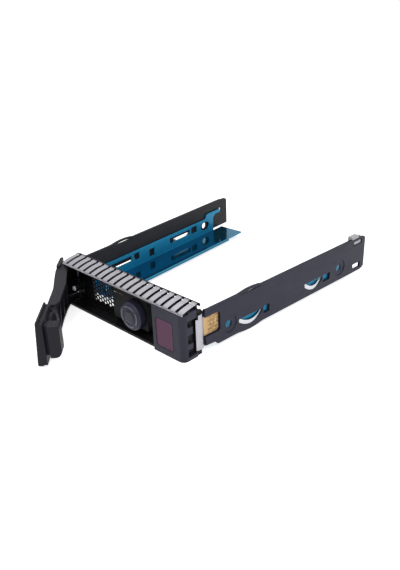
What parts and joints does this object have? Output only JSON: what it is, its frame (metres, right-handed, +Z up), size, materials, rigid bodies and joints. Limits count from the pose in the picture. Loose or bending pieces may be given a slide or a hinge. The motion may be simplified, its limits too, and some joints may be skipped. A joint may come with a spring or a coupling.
{
  "type": "hot swap drive caddy",
  "caption": "Hot swap caddy for a 3.5 inch server drive: finger-gasket front with ejector lever, release button and round indicator, and two sprung side rails.",
  "frame": {"origin": "middle of the bezel's width on the plane of its underside, 7 mm behind the front face of the grey end block", "axes": "+X to the right seen from the front, +Y to the rear of the bay along the rails, +Z up"},
  "size_m": [0.1268, 0.2179, 0.0319],
  "materials": {
    "bezel_black": "fine matte moulded",
    "block_grey": "fine matte moulded",
    "tile_maroon": "fine matte moulded",
    "lever_dark": "satin moulded",
    "disc_grey": "satin moulded",
    "ring_clear": "translucent",
    "light_pipe": "translucent",
    "board_green": "solder resist",
    "spring_steel": "bright",
    "finger_silver": "bright tin plated",
    "contact_gold": "gold-brown printed film",
    "plate_dark": "dark satin",
    "rail_blue": "blue satin",
    "contact_grey": "satin"
  },
  "bodies": {
    "base": {"front_bezel": "bezel_black", "end_block": "block_grey", "button_spring": "spring_steel", "indicator_drum": "disc_grey", "indicator_ring": "ring_clear", "indicator_cap": "disc_grey", "status_light_pipe": "light_pipe", "led_board": "board_green", "lever_pin": "spring_steel", "lever_spring": "spring_steel", "emi_gasket": "finger_silver", "flex_circuit": "contact_gold", "rear_contact": "contact_grey", "post_screw": "spring_steel", "side_plate_right": "plate_dark", "drive_rail_right": "rail_blue", "ground_spring_right": "finger_silver", "leaf_spring_right_front": "spring_steel", "leaf_spring_right_rear": "spring_steel", "bezel_screw_right_low": "spring_steel", "bezel_screw_right_high": "spring_steel", "side_plate_left": "plate_dark", "drive_rail_left": "rail_blue", "ground_spring_left": "finger_silver", "leaf_spring_left_front": "spring_steel", "leaf_spring_left_rear": "spring_steel", "bezel_screw_left_low": "spring_steel", "bezel_screw_left_high": "spring_steel"},
    "lever": {"ejector_lever": "lever_dark"},
    "button": {"release_button": "tile_maroon"}
  },
  "joints": [
    {"name": "lever_hinge", "type": "hinge", "parent": "base", "child": "lever", "pos_m": [-0.0506, 0.003, 0.0145], "axis": [0, 0, 1], "range_deg": [0, 45], "stiffness_Nm_per_rad": 0.01},
    {"name": "button_rock", "type": "hinge", "parent": "base", "child": "button", "pos_m": [0.0448, -0.00575, 0.013], "axis": [0, 0, -1], "range_deg": [0, 8], "stiffness_Nm_per_rad": 0.1, "deforming": ["button_spring"]}
  ]
}
